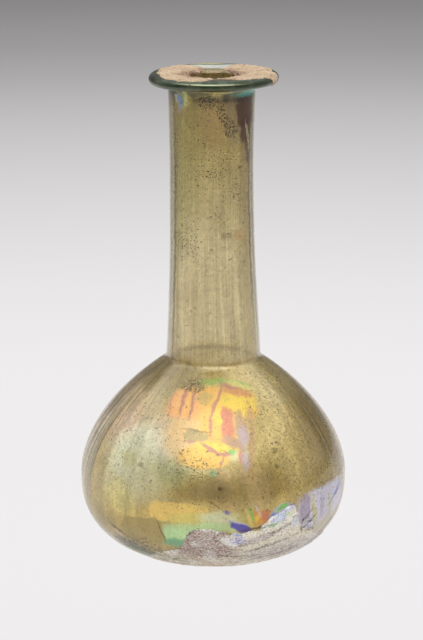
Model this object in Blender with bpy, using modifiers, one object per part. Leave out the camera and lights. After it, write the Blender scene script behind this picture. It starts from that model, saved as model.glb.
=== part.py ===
"""A free-blown glass bottle: squat body, long neck, and a disc rim folded in round a narrow mouth.

Metres, +Z up. The origin is under the middle of the body, at the level that the foot stands on.
"""

import math

import bmesh
import bpy

# Overall
HEIGHT = 0.160

# Body: a shoulder curve above the widest level, and a superellipse quarter below it
BODY_RADIUS = 0.0450
WIDEST_HEIGHT = 0.02425
SHOULDER_RISE = 0.0480
SHOULDER_BEND = 1.8
SHOULDER_CLOSE = 0.8
BELLY_POWER = 2.66
BODY_WALL = 0.0016

# Foot: a flat ring to stand on, round a shallow push-up
FOOT_RADIUS = 0.0300
FOOT_RING_WIDTH = 0.0055
PUSH_UP = 0.0035
FLOOR_WALL = 0.0028

# Neck: outer radii at its foot, halfway and under the rim
NECK_FOOT_RADIUS = 0.0160
NECK_WAIST_RADIUS = 0.0140
NECK_TOP_RADIUS = 0.01435
NECK_WALL = 0.0017
NECK_FILLET = 0.0014
NECK_LEAN = 0.00065
LEANING_SHARE = 0.7

# Rim: a disc with a rounded edge, whose folded lip narrows the mouth
RIM_RADIUS = 0.0213
RIM_THICKNESS = 0.0034
RIM_FLARE = 0.0022
MOUTH_RADIUS = 0.0086
LIP_RADIUS = 0.0013
LIP_SINK = 0.0006
LIP_START_ANGLE = 215
THROAT_LENGTH = 0.0050

# Facets: steps round the axis, and rows of points along each stretch of the profile
STEPS = 56
FLOOR_ROWS = 12
BODY_ROWS = 9
FILLET_ROWS = 5
NECK_ROWS = 6
THROAT_ROWS = 4
LIP_ROWS = 5
DISC_ROWS = 4
EDGE_ROWS = 7
FLARE_ROWS = 4
BELLY_ROWS = 8
UNDERSIDE_ROWS = 4
SLOPE_STEP = 0.0001
SHARP_ANGLE = 40

# Places that follow from the sizes above
NECK_TOP = HEIGHT - RIM_THICKNESS - RIM_FLARE
FOOT_FALL = WIDEST_HEIGHT / (1 - (FOOT_RADIUS / BODY_RADIUS) ** BELLY_POWER) ** (1 / BELLY_POWER)
NECK_FOOT = WIDEST_HEIGHT + SHOULDER_RISE * (
    1 - (NECK_FOOT_RADIUS / BODY_RADIUS) ** (1 / SHOULDER_CLOSE)
) ** (1 / SHOULDER_BEND)
FILLET_START = NECK_FOOT - 2 * NECK_FILLET
FILLET_END = NECK_FOOT + 1.5 * NECK_FILLET
WALL_CHANGE_START = NECK_FOOT - NECK_FILLET
WALL_CHANGE_LENGTH = 4 * NECK_FILLET

GLASS_COLOUR = (0.42, 0.36, 0.16, 1.0)
GLASS_ROUGHNESS = 0.12
GLASS_IOR = 1.5
GLASS_TRANSMISSION = 0.6


def smooth_max(a, b, blend):
    """The greater of a and b, rounded over where they are closer than blend."""
    share = min(max(0.5 + 0.5 * (a - b) / blend, 0.0), 1.0)
    return b + (a - b) * share + blend * share * (1 - share)


def smooth_step(value):
    value = min(max(value, 0.0), 1.0)
    return value * value * (3 - 2 * value)


def shares(count):
    """count + 1 even shares from 0 to 1."""
    return [step / count for step in range(count + 1)]


def arc(centre_x, centre_z, radius, start, end, count):
    """Points of a circular arc, by its angles in degrees from +X towards +Z."""
    angles = [math.radians(start + (end - start) * share) for share in shares(count)]
    return [(centre_x + radius * math.cos(a), centre_z + radius * math.sin(a)) for a in angles]


def shoulder_radius(z):
    """Radius of the shoulder's curve, which would close on the axis above the neck's foot."""
    rise = max(z - WIDEST_HEIGHT, 0.0) / SHOULDER_RISE
    return BODY_RADIUS * max(1 - rise**SHOULDER_BEND, 0.0) ** SHOULDER_CLOSE


def neck_radius(z):
    """A parabola through the neck's three outer radii."""
    t = min(max((z - NECK_FOOT) / (NECK_TOP - NECK_FOOT), 0.0), 1.0)
    foot = NECK_FOOT_RADIUS * (1 - t) * (1 - 2 * t)
    waist = NECK_WAIST_RADIUS * 4 * t * (1 - t)
    top = NECK_TOP_RADIUS * t * (2 * t - 1)
    return foot + waist + top


def outer_radius(z):
    """Outside of the glass between the widest level and the top of the neck."""
    return smooth_max(shoulder_radius(z), neck_radius(z), NECK_FILLET)


def inner_radius(z):
    """Inside of the glass at this height, a wall's thickness in from the outside along its normal."""
    slope = (outer_radius(z + SLOPE_STEP) - outer_radius(z - SLOPE_STEP)) / (2 * SLOPE_STEP)
    in_neck = smooth_step((z - WALL_CHANGE_START) / WALL_CHANGE_LENGTH)
    wall = BODY_WALL + (NECK_WALL - BODY_WALL) * in_neck
    return outer_radius(z) - wall * math.hypot(1, slope if z > WIDEST_HEIGHT else 0)


def belly_height(radius, reach, fall):
    """Height of the lower superellipse, reach wide and fall deep below the widest level."""
    return WIDEST_HEIGHT - fall * max(1 - (radius / reach) ** BELLY_POWER, 0.0) ** (1 / BELLY_POWER)


def underside(radius):
    """Height of the glass's underside within the foot ring: the push-up."""
    share = min(radius / (FOOT_RADIUS - FOOT_RING_WIDTH), 1.0)
    return PUSH_UP * (1 - share**2) ** 2


def inside_height(radius):
    """Height of the inside below the widest level: side and floor run together in a soft curve."""
    side = belly_height(radius, BODY_RADIUS - BODY_WALL, FOOT_FALL - BODY_WALL)
    return smooth_max(side, underside(radius) + FLOOR_WALL, FLOOR_WALL)


def shoulder_heights():
    """Levels from the widest one to the top of the neck, close together at the neck's fillet."""
    body = [WIDEST_HEIGHT + (FILLET_START - WIDEST_HEIGHT) * share for share in shares(BODY_ROWS)]
    fillet = [FILLET_START + (FILLET_END - FILLET_START) * share for share in shares(FILLET_ROWS)[1:]]
    neck = [FILLET_END + (NECK_TOP - FILLET_END) * share for share in shares(NECK_ROWS)[1:]]
    return body + fillet + neck


def inside_profile():
    """Up the inside, from the middle of the floor to the top of the neck's bore."""
    reach = BODY_RADIUS - BODY_WALL
    turns = [math.radians(90 * (1 - share)) for share in shares(FLOOR_ROWS)]
    radii = [reach * math.cos(turn) ** (2 / BELLY_POWER) for turn in turns[1:-1]]
    floor = [(0.0, inside_height(0.0))] + [(radius, inside_height(radius)) for radius in radii]
    bore_end = HEIGHT - LIP_SINK - 2 * LIP_RADIUS - THROAT_LENGTH
    heights = [z for z in shoulder_heights() if z < bore_end - NECK_FILLET] + [bore_end]
    return floor + [(inner_radius(z), z) for z in heights]


def rim_profile(bore_end):
    """From the neck's bore in under the folded lip, over the disc and down to the neck's outside."""
    lip_x = MOUTH_RADIUS + LIP_RADIUS
    lip_z = HEIGHT - LIP_SINK - LIP_RADIUS
    lip = arc(lip_x, lip_z, LIP_RADIUS, LIP_START_ANGLE, 90, LIP_ROWS)
    throat = []
    for share in shares(THROAT_ROWS)[1:-1]:
        bend = smooth_step(share)
        radius = bore_end[0] + (lip[0][0] - bore_end[0]) * bend
        throat.append((radius, bore_end[1] + (lip[0][1] - bore_end[1]) * share))
    roll = RIM_THICKNESS / 2
    edge_x = RIM_RADIUS - roll
    disc = []
    for share in shares(DISC_ROWS)[1:-1]:
        disc.append((lip_x + (edge_x - lip_x) * share, HEIGHT - LIP_SINK * (1 - smooth_step(share))))
    edge = arc(edge_x, HEIGHT - roll, roll, 90, -90, EDGE_ROWS)
    flare = arc(NECK_TOP_RADIUS + RIM_FLARE, NECK_TOP, RIM_FLARE, 90, 180, FLARE_ROWS)
    return throat + lip + disc + edge + flare


def outside_profile():
    """Down the outside, from below the rim's flare to the middle of the underside."""
    heights = shoulder_heights()[-2::-1]
    upper = [(outer_radius(z), z) for z in heights]
    belly = []
    for share in shares(BELLY_ROWS)[1:]:
        radius = BODY_RADIUS - (BODY_RADIUS - FOOT_RADIUS) * share**2
        belly.append((radius, belly_height(radius, BODY_RADIUS, FOOT_FALL)))
    ring_inside = FOOT_RADIUS - FOOT_RING_WIDTH
    radii = [ring_inside * (1 - share) for share in shares(UNDERSIDE_ROWS)]
    return upper + belly + [(radius, underside(radius)) for radius in radii]


def lean(z):
    """Sideways drift of the glass: the neck leans a little, and the rim sits back over the body."""
    up_neck = smooth_step((z - NECK_FOOT) / (LEANING_SHARE * (NECK_TOP - NECK_FOOT)))
    to_rim = smooth_step((z - NECK_TOP) / RIM_FLARE)
    return -NECK_LEAN * up_neck * (1 - to_rim)


def glass_material():
    material = bpy.data.materials.new("glass")
    material.use_nodes = True
    shader = material.node_tree.nodes["Principled BSDF"]
    shader.inputs["Base Color"].default_value = GLASS_COLOUR
    shader.inputs["Roughness"].default_value = GLASS_ROUGHNESS
    shader.inputs["Metallic"].default_value = 0.0
    shader.inputs["IOR"].default_value = GLASS_IOR
    shader.inputs["Transmission Weight"].default_value = GLASS_TRANSMISSION
    material.diffuse_color = GLASS_COLOUR
    return material


def turned(name, profile, collection):
    """A mesh object turned about the Z axis from a profile in the XZ plane."""
    mesh = bpy.data.meshes.new(name + "_profile")
    points = [(x, 0.0, z) for x, z in profile]
    mesh.from_pydata(points, [(i, i + 1) for i in range(len(points) - 1)], [])
    guide = bpy.data.objects.new(name + "_profile", mesh)
    collection.objects.link(guide)
    screw = guide.modifiers.new("turn", "SCREW")
    screw.axis = "Z"
    screw.steps = STEPS
    screw.render_steps = STEPS
    screw.use_merge_vertices = True
    screw.merge_threshold = 0.00001
    bpy.context.view_layer.update()
    graph = bpy.context.evaluated_depsgraph_get()
    solid = bpy.data.meshes.new_from_object(guide.evaluated_get(graph))
    solid.name = name
    bpy.data.objects.remove(guide)
    bpy.data.meshes.remove(mesh)
    return solid


def make_bottle(collection):
    inside = inside_profile()
    profile = inside + rim_profile(inside[-1]) + outside_profile()
    solid = turned("bottle", profile, collection)
    edit = bmesh.new()
    edit.from_mesh(solid)
    for vertex in edit.verts:
        vertex.co.x += lean(vertex.co.z)
    edit.to_mesh(solid)
    edit.free()
    solid.shade_smooth()
    solid.set_sharp_from_angle(angle=math.radians(SHARP_ANGLE))
    solid.materials.append(glass_material())
    bottle = bpy.data.objects.new("bottle", solid)
    collection.objects.link(bottle)
    return bottle


def main():
    for obj in list(bpy.data.objects):
        bpy.data.objects.remove(obj)
    collection = bpy.data.collections.new("glass_bottle")
    bpy.context.scene.collection.children.link(collection)
    make_bottle(collection)


main()
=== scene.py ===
"""The looks of a free-blown ancient glass bottle: weathered glass, rainbow film, crust and studio.

Lengths are in metres where a mesh is made, and in millimetres where a surface is painted.
Azimuth is the angle round the bottle in degrees: 0 faces the camera, and right is positive.
"""

import math
from collections import namedtuple

import bmesh
import bpy
import numpy as np
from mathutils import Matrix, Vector, noise


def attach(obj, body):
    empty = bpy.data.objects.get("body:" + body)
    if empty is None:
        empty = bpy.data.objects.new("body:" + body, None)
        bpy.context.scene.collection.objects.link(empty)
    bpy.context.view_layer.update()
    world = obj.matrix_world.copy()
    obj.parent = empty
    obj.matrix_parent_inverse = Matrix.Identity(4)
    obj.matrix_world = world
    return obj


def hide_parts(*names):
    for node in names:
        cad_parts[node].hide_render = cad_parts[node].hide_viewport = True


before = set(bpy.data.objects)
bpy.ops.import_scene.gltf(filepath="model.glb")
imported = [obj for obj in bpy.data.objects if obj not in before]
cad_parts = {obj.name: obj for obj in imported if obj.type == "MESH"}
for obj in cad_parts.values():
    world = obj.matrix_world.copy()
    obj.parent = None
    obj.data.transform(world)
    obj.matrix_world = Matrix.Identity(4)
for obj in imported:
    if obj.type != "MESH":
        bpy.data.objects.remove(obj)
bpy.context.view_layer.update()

# Sizes of the bottle, as in the solid
HEIGHT = 0.160
BODY_RADIUS = 0.0450
WIDEST_HEIGHT = 0.02425
SHOULDER_RISE = 0.0480
SHOULDER_BEND = 1.8
SHOULDER_CLOSE = 0.8
BELLY_POWER = 2.66
BODY_WALL = 0.0016
FOOT_RADIUS = 0.0300
FOOT_RING_WIDTH = 0.0055
PUSH_UP = 0.0035
FLOOR_WALL = 0.0028
NECK_FOOT_RADIUS = 0.0160
NECK_WAIST_RADIUS = 0.0140
NECK_TOP_RADIUS = 0.01435
NECK_WALL = 0.0017
NECK_FILLET = 0.0014
NECK_LEAN = 0.00065
LEANING_SHARE = 0.7
RIM_RADIUS = 0.0213
RIM_THICKNESS = 0.0034
RIM_FLARE = 0.0022
MOUTH_RADIUS = 0.0086
LIP_RADIUS = 0.0013
LIP_SINK = 0.0006
LIP_START_ANGLE = 215
THROAT_LENGTH = 0.0050

NECK_TOP = HEIGHT - RIM_THICKNESS - RIM_FLARE
FOOT_FALL = WIDEST_HEIGHT / (1 - (FOOT_RADIUS / BODY_RADIUS) ** BELLY_POWER) ** (1 / BELLY_POWER)
NECK_FOOT = WIDEST_HEIGHT + SHOULDER_RISE * (
    1 - (NECK_FOOT_RADIUS / BODY_RADIUS) ** (1 / SHOULDER_CLOSE)
) ** (1 / SHOULDER_BEND)

FILLET_TOP = NECK_FOOT + 0.004
BORE_END = HEIGHT - LIP_SINK - 2 * LIP_RADIUS - THROAT_LENGTH

# The fine mesh: steps round it, how uneven each stretch of the glass is, and shares of a stretch
SEGMENTS = 240
UNEVEN_BODY = 0.00028
UNEVEN_NECK = 0.00014
UNEVEN_RIM = 0.00022
SWELL_SIZE = 0.024
SLOPE_STEP = 0.0001
SHARES = np.linspace(0, 1, 20)[1:-1]

# Camera, read from the ellipses and the outline in the photograph
IMAGE_HEIGHT = 640
FOCAL_PIXELS = 2154.6
CAMERA_PLACE = (-0.00066, -0.700, 0.2609)
CAMERA_PITCH = 14.753
SENSOR = 36.0

MM = 0.001


def smooth_max(a, b, blend):
    share = np.clip(0.5 + 0.5 * (a - b) / blend, 0.0, 1.0)
    return b + (a - b) * share + blend * share * (1 - share)


def smooth_step(value):
    value = np.clip(value, 0.0, 1.0)
    return value * value * (3 - 2 * value)


def eased(value, reach):
    """A smooth rise from 0 to 1 as value goes from 0 to reach."""
    return float(smooth_step(value / reach))


def outer_radius(z):
    """Outside of the glass from the foot to the top of the neck."""
    z = np.asarray(z, float)
    rise = np.clip(z - WIDEST_HEIGHT, 0, None) / SHOULDER_RISE
    shoulder = BODY_RADIUS * np.clip(1 - rise**SHOULDER_BEND, 0, None) ** SHOULDER_CLOSE
    t = np.clip((z - NECK_FOOT) / (NECK_TOP - NECK_FOOT), 0, 1)
    neck = NECK_FOOT_RADIUS * (1 - t) * (1 - 2 * t) + NECK_WAIST_RADIUS * 4 * t * (1 - t)
    neck = neck + NECK_TOP_RADIUS * t * (2 * t - 1)
    fall = np.clip((WIDEST_HEIGHT - z) / FOOT_FALL, 0, 1)
    belly = BODY_RADIUS * (1 - fall**BELLY_POWER) ** (1 / BELLY_POWER)
    return np.where(z < WIDEST_HEIGHT, belly, smooth_max(shoulder, neck, NECK_FILLET))


def inner_radius(z):
    """Inside of the glass above the widest level, a wall's thickness in along the normal."""
    slope = (outer_radius(z + SLOPE_STEP) - outer_radius(z - SLOPE_STEP)) / (2 * SLOPE_STEP)
    in_neck = smooth_step((z - NECK_FOOT + NECK_FILLET) / (4 * NECK_FILLET))
    wall = BODY_WALL + (NECK_WALL - BODY_WALL) * in_neck
    return outer_radius(z) - wall * np.hypot(1, np.where(z > WIDEST_HEIGHT, slope, 0))


def underside(radius):
    """Height of the glass's underside within the foot ring."""
    share = np.clip(radius / (FOOT_RADIUS - FOOT_RING_WIDTH), 0, 1)
    return PUSH_UP * (1 - share**2) ** 2


def belly_height(radius, reach, fall):
    """Height of the lower curve, reach wide and fall deep below the widest level."""
    depth = np.clip(1 - (radius / reach) ** BELLY_POWER, 0, None) ** (1 / BELLY_POWER)
    return WIDEST_HEIGHT - fall * depth


def inside_height(radius):
    """Height of the inside below the widest level."""
    side = belly_height(radius, BODY_RADIUS - BODY_WALL, FOOT_FALL - BODY_WALL)
    return smooth_max(side, underside(radius) + FLOOR_WALL, FLOOR_WALL)


def lean(z):
    """Sideways drift of the neck, as in the solid."""
    up_neck = smooth_step((z - NECK_FOOT) / (LEANING_SHARE * (NECK_TOP - NECK_FOOT)))
    return -NECK_LEAN * up_neck * (1 - smooth_step((z - NECK_TOP) / RIM_FLARE))


def arc(centre_x, centre_z, radius, start, end, count=24):
    """Points (radius, height) of an arc, by its angles in degrees from outward towards up."""
    angles = np.radians(np.linspace(start, end, count))
    return np.stack([centre_x + radius * np.cos(angles), centre_z + radius * np.sin(angles)], 1)


def way_along(points):
    """How far along a line each of its points is."""
    return np.concatenate([[0], np.cumsum(np.hypot(*np.diff(points, axis=0).T))])


def evenly(points, spacing):
    """The same line with points this far apart."""
    lengths = way_along(points)
    count = max(2, int(round(lengths[-1] / spacing)) + 1)
    wanted = np.linspace(0, lengths[-1], count)
    return np.stack([np.interp(wanted, lengths, points[:, i]) for i in range(2)], 1)


def rim_line(last_angle):
    """The lip, the top of the disc, and the rim's edge down to this angle."""
    lip_z = HEIGHT - LIP_SINK - LIP_RADIUS
    lip = arc(MOUTH_RADIUS + LIP_RADIUS, lip_z, LIP_RADIUS, LIP_START_ANGLE, 90)
    roll = RIM_THICKNESS / 2
    edge_x = RIM_RADIUS - roll
    disc_radii = lip[-1, 0] + (edge_x - lip[-1, 0]) * SHARES
    disc = np.stack([disc_radii, HEIGHT - LIP_SINK * (1 - smooth_step(SHARES))], 1)
    return lip, disc, arc(edge_x, HEIGHT - roll, roll, 90, last_angle)


def glass_profile():
    """Round the whole wall: inside from the floor's centre up, over the rim, and down the outside."""
    turn = np.radians(np.linspace(90, 0, 200))
    radii = (BODY_RADIUS - BODY_WALL) * np.cos(turn) ** (2 / BELLY_POWER)
    radii[0] = 0.0
    floor = np.stack([radii, inside_height(radii)], 1)[:-1]
    heights = np.linspace(WIDEST_HEIGHT, BORE_END, 600)
    bore = np.stack([inner_radius(heights), heights], 1)
    lip, disc, edge = rim_line(-90)
    throat_radii = bore[-1, 0] + (lip[0, 0] - bore[-1, 0]) * smooth_step(SHARES)
    throat = np.stack([throat_radii, BORE_END + (lip[0, 1] - BORE_END) * SHARES], 1)
    flare = arc(NECK_TOP_RADIUS + RIM_FLARE, NECK_TOP, RIM_FLARE, 90, 180)
    neck_z = np.linspace(NECK_TOP, FILLET_TOP, 300)[1:]
    body_z = np.linspace(FILLET_TOP, WIDEST_HEIGHT, 400)
    belly_r = BODY_RADIUS - (BODY_RADIUS - FOOT_RADIUS) * np.linspace(0, 1, 200)[1:] ** 2
    ring_r = np.linspace(FOOT_RADIUS, 0, 120)
    stretches = [
        (floor, 0.0021), (bore, 0.0021), (throat, 0.0006), (lip, 0.0003), (disc, 0.0005),
        (edge, 0.00035), (flare, 0.0005),
        (np.stack([outer_radius(neck_z), neck_z], 1), 0.0018),
        (np.stack([outer_radius(body_z), body_z], 1), 0.0008),
        (np.stack([belly_r, belly_height(belly_r, BODY_RADIUS, FOOT_FALL)], 1), 0.0008),
        (np.stack([ring_r, underside(ring_r)], 1), 0.0016),
    ]
    line = [evenly(points, spacing) for points, spacing in stretches]
    gapless = [line[0]] + [part[1:] if np.allclose(part[0], line[i][-1]) else part
                           for i, part in enumerate(line[1:])]
    return np.concatenate(gapless)


def uneven(place, size, seed):
    """Smooth noise between about -1 and 1 at a place, with bumps of this size in metres."""
    spot = Vector(place) / size + Vector((seed, 2.3 * seed, -1.7 * seed))
    return noise.noise(spot)


def blown(radius, azimuth, z):
    """A point of the glass with the slight unevenness of hand-blown work, both walls together."""
    spot = (0.03 * math.sin(azimuth), -0.03 * math.cos(azimuth), z)
    in_neck = eased(z - NECK_FOOT, 0.010)
    in_rim = eased(z - NECK_TOP, RIM_FLARE)
    swell = (UNEVEN_BODY * (1 - in_neck) + UNEVEN_NECK * in_neck) * uneven(spot, SWELL_SIZE, 3.0)
    swell *= eased(z, 0.006) * min(1.0, radius / 0.008)
    outward = radius / RIM_RADIUS
    lift = 0.5 * UNEVEN_RIM * math.sin(azimuth * 2 + 0.8) * outward**2
    lift += UNEVEN_RIM * (math.sin(azimuth) - 0.8 * math.cos(azimuth)) * outward
    x = (radius + swell) * math.sin(azimuth) + float(lean(z))
    return x, -(radius + swell) * math.cos(azimuth), z + (lift + 0.5 * UNEVEN_RIM) * in_rim


def placed(name, data):
    """A new object in the scene."""
    made = bpy.data.objects.new(name, data)
    bpy.context.scene.collection.objects.link(made)
    return made


def around(count):
    """Each place round a ring, with the next one."""
    return [(i, (i + 1) % count) for i in range(count)]


def turned_mesh(name, profile):
    """A closed turned mesh. The profile starts and ends on the axis."""
    points, faces = [], []
    rings = profile[1:-1]
    for radius, z in rings:
        points += [blown(radius, 2 * math.pi * i / SEGMENTS, z) for i in range(SEGMENTS)]
    last_ring = (len(rings) - 1) * SEGMENTS
    for here in range(0, last_ring, SEGMENTS):
        there = here + SEGMENTS
        faces += [(here + j, here + i, there + i, there + j) for i, j in around(SEGMENTS)]
    for ring_start, (_, z), flip in ((0, profile[0], False), (last_ring, profile[-1], True)):
        middle = len(points)
        points.append((0.0, 0.0, z))
        for i, j in around(SEGMENTS):
            face = (ring_start + i, ring_start + j, middle)
            faces.append(face[::-1] if flip else face)
    mesh = bpy.data.meshes.new(name)
    mesh.from_pydata(points, [], faces)
    mesh.validate()
    mesh.shade_smooth()
    return placed(name, mesh)


def seen(red, green, blue):
    """A colour given as it looks on a screen, 0 to 255, as the linear values a shader takes."""
    values = [value / 255 for value in (red, green, blue)]
    linear = [v / 12.92 if v <= 0.04045 else ((v + 0.055) / 1.055) ** 2.4 for v in values]
    return (*linear, 1.0)


class Paint:
    """One material's nodes. Its methods take sockets or plain values and give sockets."""

    def __init__(self, name):
        self.material = bpy.data.materials.new(name)
        self.material.use_nodes = True
        self.tree = self.material.node_tree
        self.shader = self.tree.nodes["Principled BSDF"]
        self.place = self.scaled(self.node("TexCoord").outputs["Object"], (1 / MM,) * 3)

    def node(self, kind, **settings):
        made = self.tree.nodes.new("ShaderNode" + kind)
        for key, value in settings.items():
            setattr(made, key, value)
        return made

    def feed(self, socket, value):
        if isinstance(value, bpy.types.NodeSocket):
            self.tree.links.new(value, socket)
        else:
            socket.default_value = value

    def give(self, name, value):
        """Feed an input of the shader."""
        self.feed(self.shader.inputs[name], value)

    def named(self, made, **values):
        """A node, with its inputs fed by name."""
        for name, value in values.items():
            self.feed(made.inputs[name], value)
        return made

    def result(self, made, *values):
        """The first output of a node whose inputs are fed in turn."""
        for socket, value in zip(made.inputs, values):
            self.feed(socket, value)
        return made.outputs[0]

    def math(self, operation, *values):
        return self.result(self.node("Math", operation=operation), *values)

    def times(self, a, b):
        return self.math("MULTIPLY", a, b)

    def most(self, a, b):
        return self.math("MAXIMUM", a, b)

    def linear(self, value, slope, start):
        return self.math("MULTIPLY_ADD", value, slope, start)

    def vector(self, operation, *values):
        made = self.node("VectorMath", operation=operation)
        self.result(made, *values)
        return made.outputs["Value" if operation in ("LENGTH", "DOT_PRODUCT") else "Vector"]

    def scaled(self, vector, sizes):
        return self.vector("MULTIPLY", vector, sizes)

    def joined(self, x, y, z=0.0):
        return self.result(self.node("CombineXYZ"), x, y, z)

    def split(self, vector):
        made = self.node("SeparateXYZ")
        self.feed(made.inputs[0], vector)
        return made.outputs

    def ramp(self, value, low, high, at_low=0.0, at_high=1.0):
        """A smooth change from at_low to at_high as value goes from low to high."""
        made = self.node("MapRange", interpolation_type="SMOOTHSTEP")
        return self.result(made, value, low, high, at_low, at_high)

    def between(self, value, start, full, fading, end):
        """1 while value is from full to fading, and 0 before start and past end."""
        return self.times(self.ramp(value, start, full), self.ramp(value, end, fading))

    def mix(self, share, a, b, **settings):
        """Colour a, with this share of b over it."""
        made = self.node("Mix", data_type="RGBA", clamp_factor=True, **settings)
        for socket, value in zip(made.inputs[:1] + made.inputs[6:8], (share, a, b)):
            self.feed(socket, value)
        return made.outputs[2]

    def shaded(self, colour, level):
        """colour made darker or lighter by a number about 1, with no change of socket type."""
        grey = self.result(self.node("CombineColor"), level, level, level)
        return self.mix(1.0, colour, grey, blend_type="MULTIPLY")

    def blend(self, share, a, b):
        """Number a, with this share of b over it."""
        made = self.node("Mix", data_type="FLOAT", clamp_factor=True)
        for socket, value in zip(made.inputs[:1] + made.inputs[2:4], (share, a, b)):
            self.feed(socket, value)
        return made.outputs[0]

    def grain(self, size, detail=4.0, roughness=0.55, stretch=None, place=None, tint=False):
        """Noise from 0 to 1 with bumps of this size in millimetres."""
        place = self.place if place is None else place
        made = self.node("TexNoise")
        self.named(made, Vector=self.scaled(place, stretch) if stretch else place,
                   Scale=1 / size, Detail=detail, Roughness=roughness)
        return made.outputs["Color" if tint else "Fac"]

    def flecks(self, size, density):
        """Small ragged blots about this size in millimetres, thicker where density nears 1."""
        height = self.grain(size, 1.0, 0.6)
        level = self.linear(density, -0.15, 0.70)
        return self.ramp(self.math("SUBTRACT", height, level), 0.0, 0.05)

    def specks(self, spacing, largest, density):
        """Round specks this far apart, in millimetres, where density (0 to 1) lets them be."""
        made = self.named(self.node("TexVoronoi"), Vector=self.place, Scale=1 / spacing)
        chance, bulk, _ = self.split(made.outputs["Color"])
        radius = self.linear(bulk, 0.75 * largest / spacing, 0.25 * largest / spacing)
        share = self.math("DIVIDE", made.outputs["Distance"], radius)
        inside = self.ramp(share, 0.7, 1.0, 1.0, 0.0)
        return self.times(inside, self.math("LESS_THAN", chance, density))

    def raised(self, relief, strength):
        """Bumps on the surface, relief millimetres high."""
        made = self.named(self.node("Bump"), Distance=MM, Strength=strength, Height=relief)
        self.give("Normal", made.outputs[0])


# A painted patch: where its middle is, its size across and up in millimetres, how far it is
# turned, how much of its reach the edge fades over, its colour, and how strongly it covers
Patch = namedtuple("Patch", "azimuth height width tall turn soft colour strength boxy")


def patch(azimuth, height, width, tall, colour, strength=1.0, fade=0.5, turn=0, boxy=False):
    """A patch whose edge fades over this many millimetres each way."""
    soft = min(0.9, 2 * fade / min(width, tall))
    return Patch(azimuth, height, width, tall, turn, soft, colour, strength, boxy)


def stroke(start, end, thickness, colour, strength=0.9, fade=0.3):
    """A thin patch from one (azimuth, height) to another."""
    across = math.radians(end[0] - start[0]) * BODY_RADIUS / MM
    up = end[1] - start[1]
    turn = math.degrees(math.atan2(up, across)) - 90
    middle = (start[0] + end[0]) / 2, (start[1] + end[1]) / 2
    return patch(*middle, thickness, math.hypot(across, up), colour, strength, fade, turn)


def areas(rows):
    """Patches with no colour, each of azimuth, height, width, tallness, strength and fade."""
    return [patch(*spot, None, strength, fade) for *spot, strength, fade in rows]


class Surface(Paint):
    """Paint that knows the way round and up the bottle."""

    def __init__(self, name):
        super().__init__(name)
        self.x, self.y, self.z = self.split(self.place)
        lean_share = self.ramp(self.z, NECK_FOOT / MM, 0.6 * HEIGHT / MM)
        x = self.linear(lean_share, NECK_LEAN / MM, self.x)
        back = self.times(self.y, -1.0)
        self.azimuth = self.math("ARCTAN2", x, back)
        squares = self.math("ADD", self.times(x, x), self.times(self.y, self.y))
        self.radius = self.math("SQRT", squares)
        self.flat = self.joined(self.times(self.azimuth, BODY_RADIUS / MM), self.z, 1.0)

    def wobbled(self, size, reach, detail=4.0):
        """The flat map pushed about by noise, so that what is painted on it gets a ragged edge."""
        pushed = self.vector("SUBTRACT", self.grain(size, detail, tint=True), (0.5, 0.5, 0.5))
        across, up, _ = self.split(self.scaled(pushed, (2 * reach,) * 3))
        widen = self.math("DIVIDE", BODY_RADIUS / MM, self.most(self.radius, 8.0))
        return self.vector("ADD", self.flat, self.joined(self.times(across, widen), up))

    def cover(self, spot, place):
        """How much of a patch's colour lies over this point, from 0 to its strength.

        The place (across, up, 1) is turned and scaled by two dot products, so that the patch's
        edge is where the sum of the squares, or for a boxy patch of the fourth powers, is 1.
        """
        turn = math.radians(spot.turn)
        narrowing = 1 + (BODY_RADIUS / float(outer_radius(spot.height * MM)) - 1) * abs(math.cos(turn))
        middle = math.radians(spot.azimuth) * BODY_RADIUS / MM, spot.height
        reaches = []
        for angle, size in ((turn, spot.width * narrowing), (turn + math.pi / 2, spot.tall)):
            across, up = 2 * math.cos(angle) / size, 2 * math.sin(angle) / size
            away = self.vector("DOT_PRODUCT", place, (across, up, -across * middle[0] - up * middle[1]))
            squared = self.times(away, away)
            reaches.append(self.times(squared, squared) if spot.boxy else squared)
        power = 4 if spot.boxy else 2
        reach = self.math("ADD", *reaches)
        return self.ramp(reach, (1 - spot.soft) ** power, (1 + spot.soft) ** power, spot.strength, 0.0)

    def painted(self, colour, patches, place):
        """colour with the patches laid over it in turn."""
        for spot in patches:
            colour = self.mix(self.cover(spot, place), colour, spot.colour)
        return colour

    def reached(self, patches, place):
        """The most that any of the patches covers this point."""
        most = 0.0
        for spot in patches:
            most = self.most(most, self.cover(spot, place))
        return most


# Colours as they look
TAN = seen(216, 192, 120)
NECK_LOW = seen(238, 225, 184)
NECK_HIGH = seen(204, 182, 108)
NECK_TAN = seen(206, 168, 112)
NECK_GREEN = seen(178, 178, 96)
PALE_GREY = seen(224, 216, 202)
NECK_GREY = seen(150, 128, 104)
ROSY_TAN = seen(244, 215, 178)
LEFT_TAN = seen(236, 217, 158)
DARK_OLIVE = seen(134, 114, 40)
PALE_ROSE = seen(236, 208, 178)
PALE_GREEN = seen(243, 249, 216)
SPRAY_TEAL = seen(176, 196, 154)
PEACH = seen(250, 206, 136)
SPRAY_GREEN = seen(210, 208, 142)
SMOKE = seen(132, 116, 78)
BROWN_OLIVE = seen(212, 184, 128)
RIGHT_BROWN = seen(150, 122, 56)
YELLOW_GREEN = seen(238, 226, 148)
LOW_OLIVE = seen(190, 170, 112)
GOLD = seen(255, 196, 96)
BRIGHT_YELLOW = seen(255, 220, 80)
ORANGE = seen(255, 184, 112)
BURNT = seen(222, 150, 92)
MAUVE = seen(190, 126, 118)
SALMON = seen(220, 130, 104)
MAUVE_BROWN = seen(186, 146, 118)
OLIVE_GOLD = seen(198, 176, 104)
FILM_GREEN = seen(160, 200, 92)
FILM_LIME = seen(224, 222, 128)
DEEP_GOLD = seen(255, 222, 130)
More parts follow.
